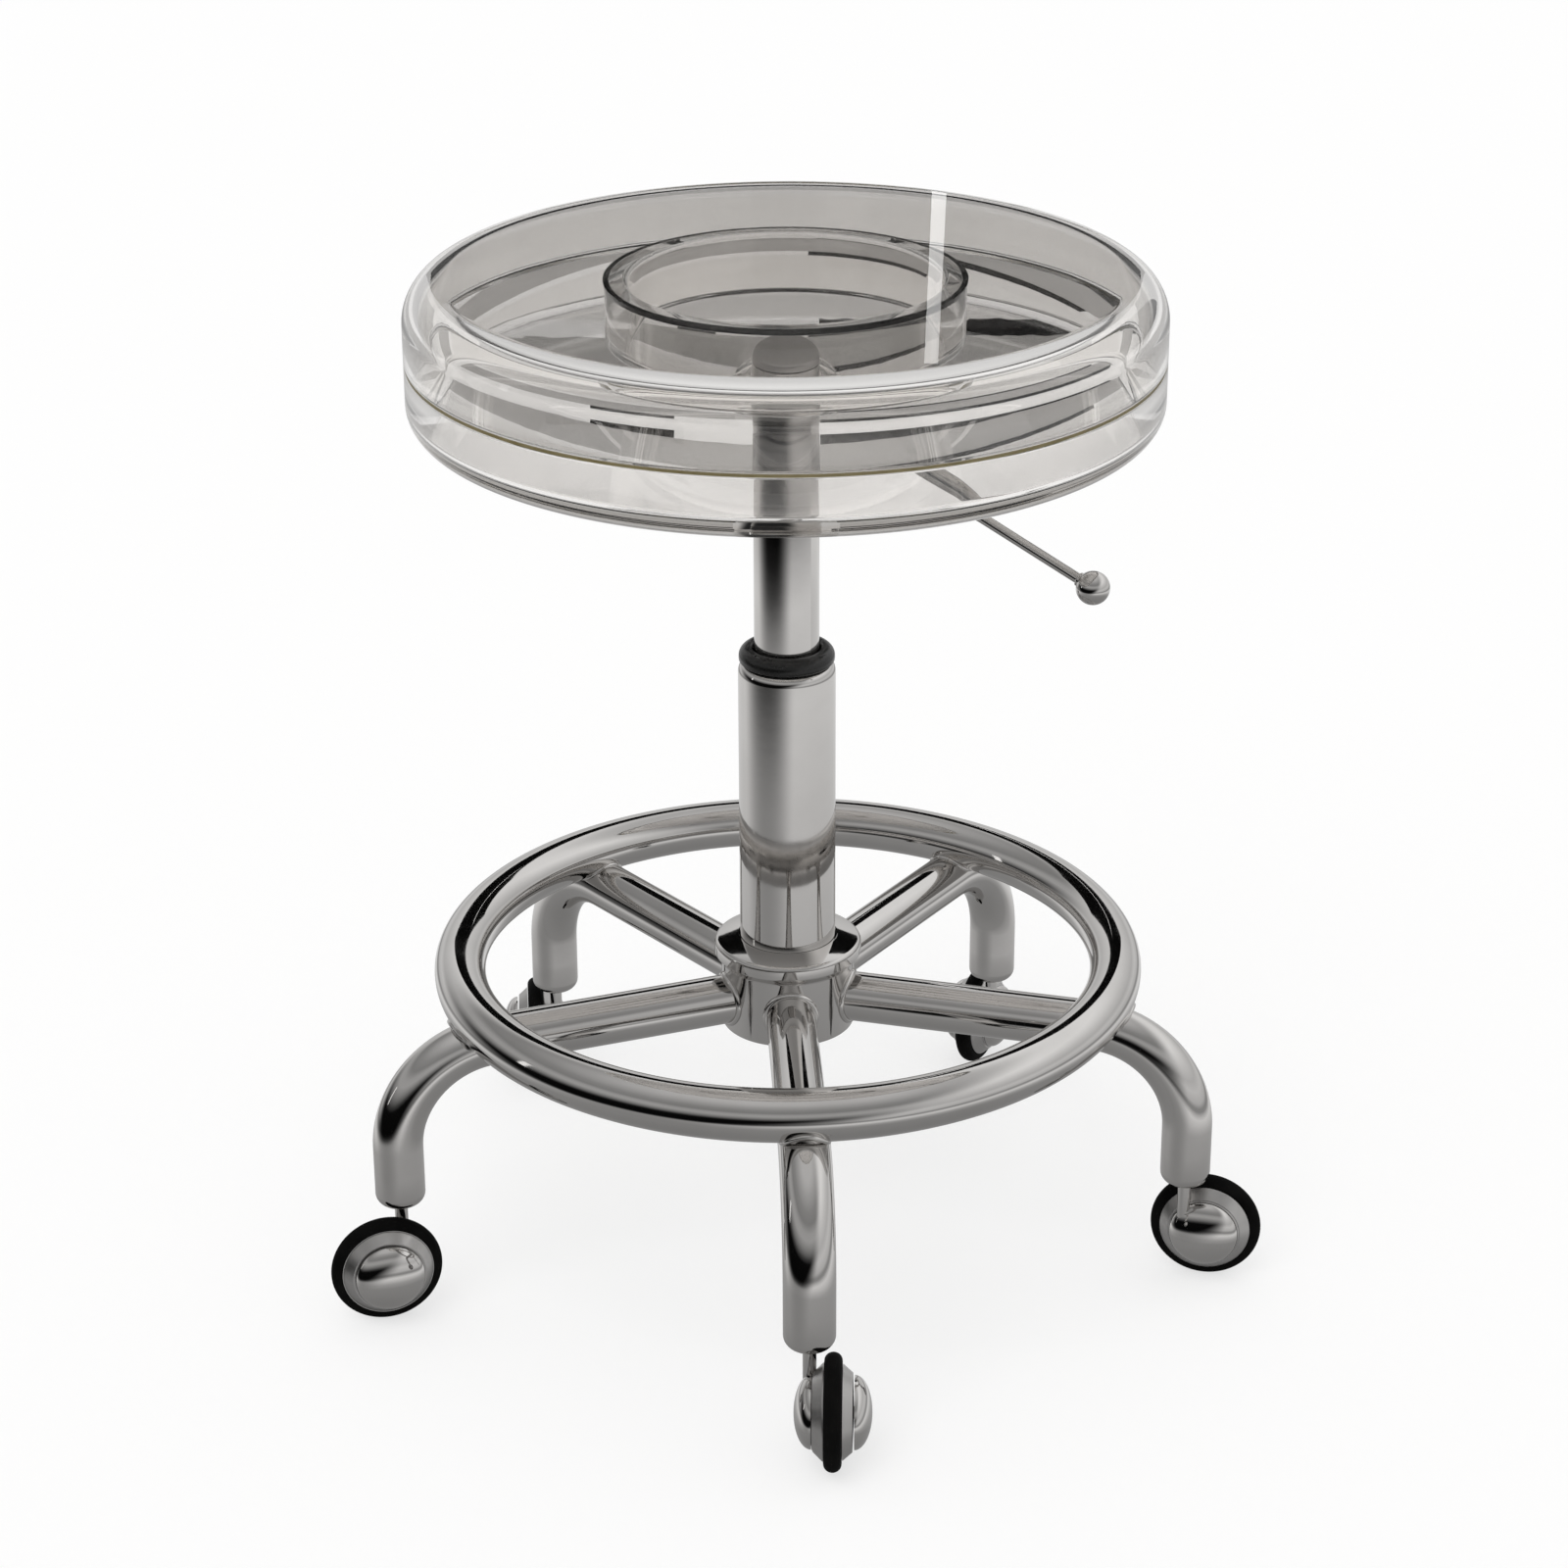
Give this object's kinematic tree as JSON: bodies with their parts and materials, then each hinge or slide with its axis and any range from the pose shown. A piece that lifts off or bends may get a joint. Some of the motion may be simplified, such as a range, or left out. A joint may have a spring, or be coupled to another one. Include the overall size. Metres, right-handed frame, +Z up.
{
  "type": "swivel stool",
  "caption": "Round clear-acrylic drum seat on a height-adjustable chrome gas-lift column, with a lever, a tubular leg base, a foot ring and ball-hub casters.",
  "frame": {"origin": "on the floor, under the middle of the box round the stool at rest", "axes": "+Z up along the column towards the seat, -Y towards the front leg, +X to the right as seen from the front"},
  "size_m": [0.4695, 0.4537, 0.5155],
  "materials": {
    "chrome": "polished chrome plate",
    "clear_acrylic": "polished clear acrylic",
    "seam_seal": "cured adhesive line",
    "black_plastic": "moulded satin black",
    "bright_steel": "bright zinc-plated steel",
    "tyre_rubber": "moulded black rubber"
  },
  "bodies": {
    "base": {"foot_ring": "chrome", "base_hub": "chrome", "column_tube": "chrome", "column_floor": "bright_steel", "thrust_bearing": "bright_steel", "column_collar": "black_plastic", "leg_1": "chrome", "leg_2": "chrome", "leg_3": "chrome", "leg_4": "chrome", "leg_5": "chrome"},
    "spindle": {"piston_rod": "chrome", "retaining_clip": "bright_steel"},
    "seat": {"seat_post": "chrome", "gas_cylinder": "black_plastic", "post_cap": "bright_steel", "seat_boss": "clear_acrylic", "seat_tray": "clear_acrylic", "seat_seal": "seam_seal", "seat_lid": "clear_acrylic", "core_ring": "clear_acrylic", "lever_pin": "bright_steel"},
    "lever": {"lever_rod": "chrome", "lever_ball": "chrome"},
    "button": {"release_button": "bright_steel"},
    "caster_1": {"caster_1_stem": "chrome", "caster_1_hood": "chrome", "caster_1_axle": "bright_steel"},
    "wheel_1": {"caster_1_rim": "chrome", "caster_1_tyre": "tyre_rubber", "caster_1_cap": "chrome"},
    "caster_2": {"caster_2_stem": "chrome", "caster_2_hood": "chrome", "caster_2_axle": "bright_steel"},
    "wheel_2": {"caster_2_rim": "chrome", "caster_2_tyre": "tyre_rubber", "caster_2_cap": "chrome"},
    "caster_3": {"caster_3_stem": "chrome", "caster_3_hood": "chrome", "caster_3_axle": "bright_steel"},
    "wheel_3": {"caster_3_rim": "chrome", "caster_3_tyre": "tyre_rubber", "caster_3_cap": "chrome"},
    "caster_4": {"caster_4_stem": "chrome", "caster_4_hood": "chrome", "caster_4_axle": "bright_steel"},
    "wheel_4": {"caster_4_rim": "chrome", "caster_4_tyre": "tyre_rubber", "caster_4_cap": "chrome"},
    "caster_5": {"caster_5_stem": "chrome", "caster_5_hood": "chrome", "caster_5_axle": "bright_steel"},
    "wheel_5": {"caster_5_rim": "chrome", "caster_5_tyre": "tyre_rubber", "caster_5_cap": "chrome"}
  },
  "joints": [
    {"name": "seat_swivel", "type": "hinge", "parent": "base", "child": "spindle", "pos_m": [-0.00262, 0.01893, 0.132], "axis": [0, 0, 1], "continuous": true},
    {"name": "seat_lift", "type": "slide", "parent": "spindle", "child": "seat", "axis": [0, 0, 1], "range_m": [-0.06, 0.06]},
    {"name": "lever_lift", "type": "hinge", "parent": "seat", "child": "lever", "pos_m": [0.00496, 0.01408, 0.4145], "axis": [-0.5388, -0.8425, 0], "range_deg": [0, 8], "stiffness_Nm_per_rad": 0.5},
    {"name": "button_press", "type": "slide", "parent": "seat", "child": "button", "axis": [0, 0, -1], "range_m": [0, 0.0018]},
    {"name": "caster_1_swivel", "type": "hinge", "parent": "base", "child": "caster_1", "pos_m": [-0.00262, -0.18807, 0.075], "axis": [0, 0, 1], "continuous": true},
    {"name": "caster_1_roll", "type": "hinge", "parent": "caster_1", "child": "wheel_1", "pos_m": [0.00772, -0.19942, 0.028], "axis": [0.9969, -0.0785, 0], "continuous": true},
    {"name": "caster_2_swivel", "type": "hinge", "parent": "base", "child": "caster_2", "pos_m": [0.19425, -0.04504, 0.075], "axis": [0, 0, 1], "continuous": true},
    {"name": "caster_2_roll", "type": "hinge", "parent": "caster_2", "child": "wheel_2", "pos_m": [0.20729, -0.03694, 0.028], "axis": [0.2588, 0.9659, 0], "continuous": true},
    {"name": "caster_3_swivel", "type": "hinge", "parent": "base", "child": "caster_3", "pos_m": [0.11905, 0.1864, 0.075], "axis": [0, 0, 1], "continuous": true},
    {"name": "caster_3_roll", "type": "hinge", "parent": "caster_3", "child": "wheel_3", "pos_m": [0.11409, 0.20093, 0.028], "axis": [-0.8829, 0.4695, 0], "continuous": true},
    {"name": "caster_4_swivel", "type": "hinge", "parent": "base", "child": "caster_4", "pos_m": [-0.12429, 0.1864, 0.075], "axis": [0, 0, 1], "continuous": true},
    {"name": "caster_4_roll", "type": "hinge", "parent": "caster_4", "child": "wheel_4", "pos_m": [-0.13585, 0.1965, 0.028], "axis": [-0.9994, -0.0349, 0], "continuous": true},
    {"name": "caster_5_swivel", "type": "hinge", "parent": "base", "child": "caster_5", "pos_m": [-0.19949, -0.04504, 0.075], "axis": [0, 0, 1], "continuous": true},
    {"name": "caster_5_roll", "type": "hinge", "parent": "caster_5", "child": "wheel_5", "pos_m": [-0.2072, -0.05831, 0.028], "axis": [0.225, -0.9744, 0], "continuous": true}
  ],
  "couplings": [
    {"joint": "button_press", "follows": "lever_lift", "m_per_rad": 0.012}
  ]
}
